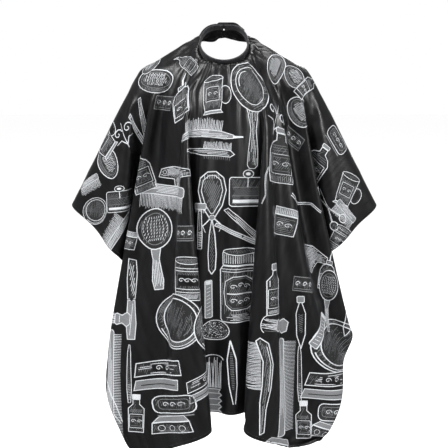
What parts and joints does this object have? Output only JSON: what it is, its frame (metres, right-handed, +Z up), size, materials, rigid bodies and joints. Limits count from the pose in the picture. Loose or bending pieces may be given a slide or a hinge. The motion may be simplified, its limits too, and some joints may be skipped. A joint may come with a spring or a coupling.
{
  "type": "barber cape",
  "caption": "Printed cloth cape that drapes from an elastic neckband over the shoulders and front, open down the back and closed at the nape by a press-stud tab.",
  "frame": {"origin": "centre of the neck opening, half way up the neckband", "axes": "+Z up, the front of the cape faces -Y, +X is the left hand of the person wearing it"},
  "size_m": [0.8046, 0.3451, 1.1189],
  "materials": {
    "cape_cloth": "black satin-weave polyester with a white print, water-repellent, soft sheen",
    "band_cloth": "the same black cloth, gathered on the band and folded in the tabs",
    "elastic": "black woven elastic tape",
    "nickel": "nickel-plated pressed steel"
  },
  "bodies": {
    "cape": {"cape_panel": "cape_cloth", "neckband_casing": "band_cloth", "neck_elastic": "elastic", "under_tab": "band_cloth", "over_tab_root": "band_cloth", "stud_1": "nickel", "stud_2": "nickel", "stud_3": "nickel", "stud_4": "nickel", "stud_5": "nickel", "stud_6": "nickel", "stud_back_1": "nickel", "stud_back_2": "nickel", "stud_back_3": "nickel", "stud_back_4": "nickel", "stud_back_5": "nickel", "stud_back_6": "nickel"},
    "over_tab": {"over_tab": "band_cloth", "socket_1": "nickel", "socket_2": "nickel", "socket_cap_1": "nickel", "socket_cap_2": "nickel"}
  },
  "joints": [
    {"name": "over_tab_peel", "type": "hinge", "parent": "cape", "child": "over_tab", "pos_m": [0.02, 0.06454, 0.05042], "axis": [0, 0.6157, -0.788], "range_deg": [0, 75]}
  ]
}
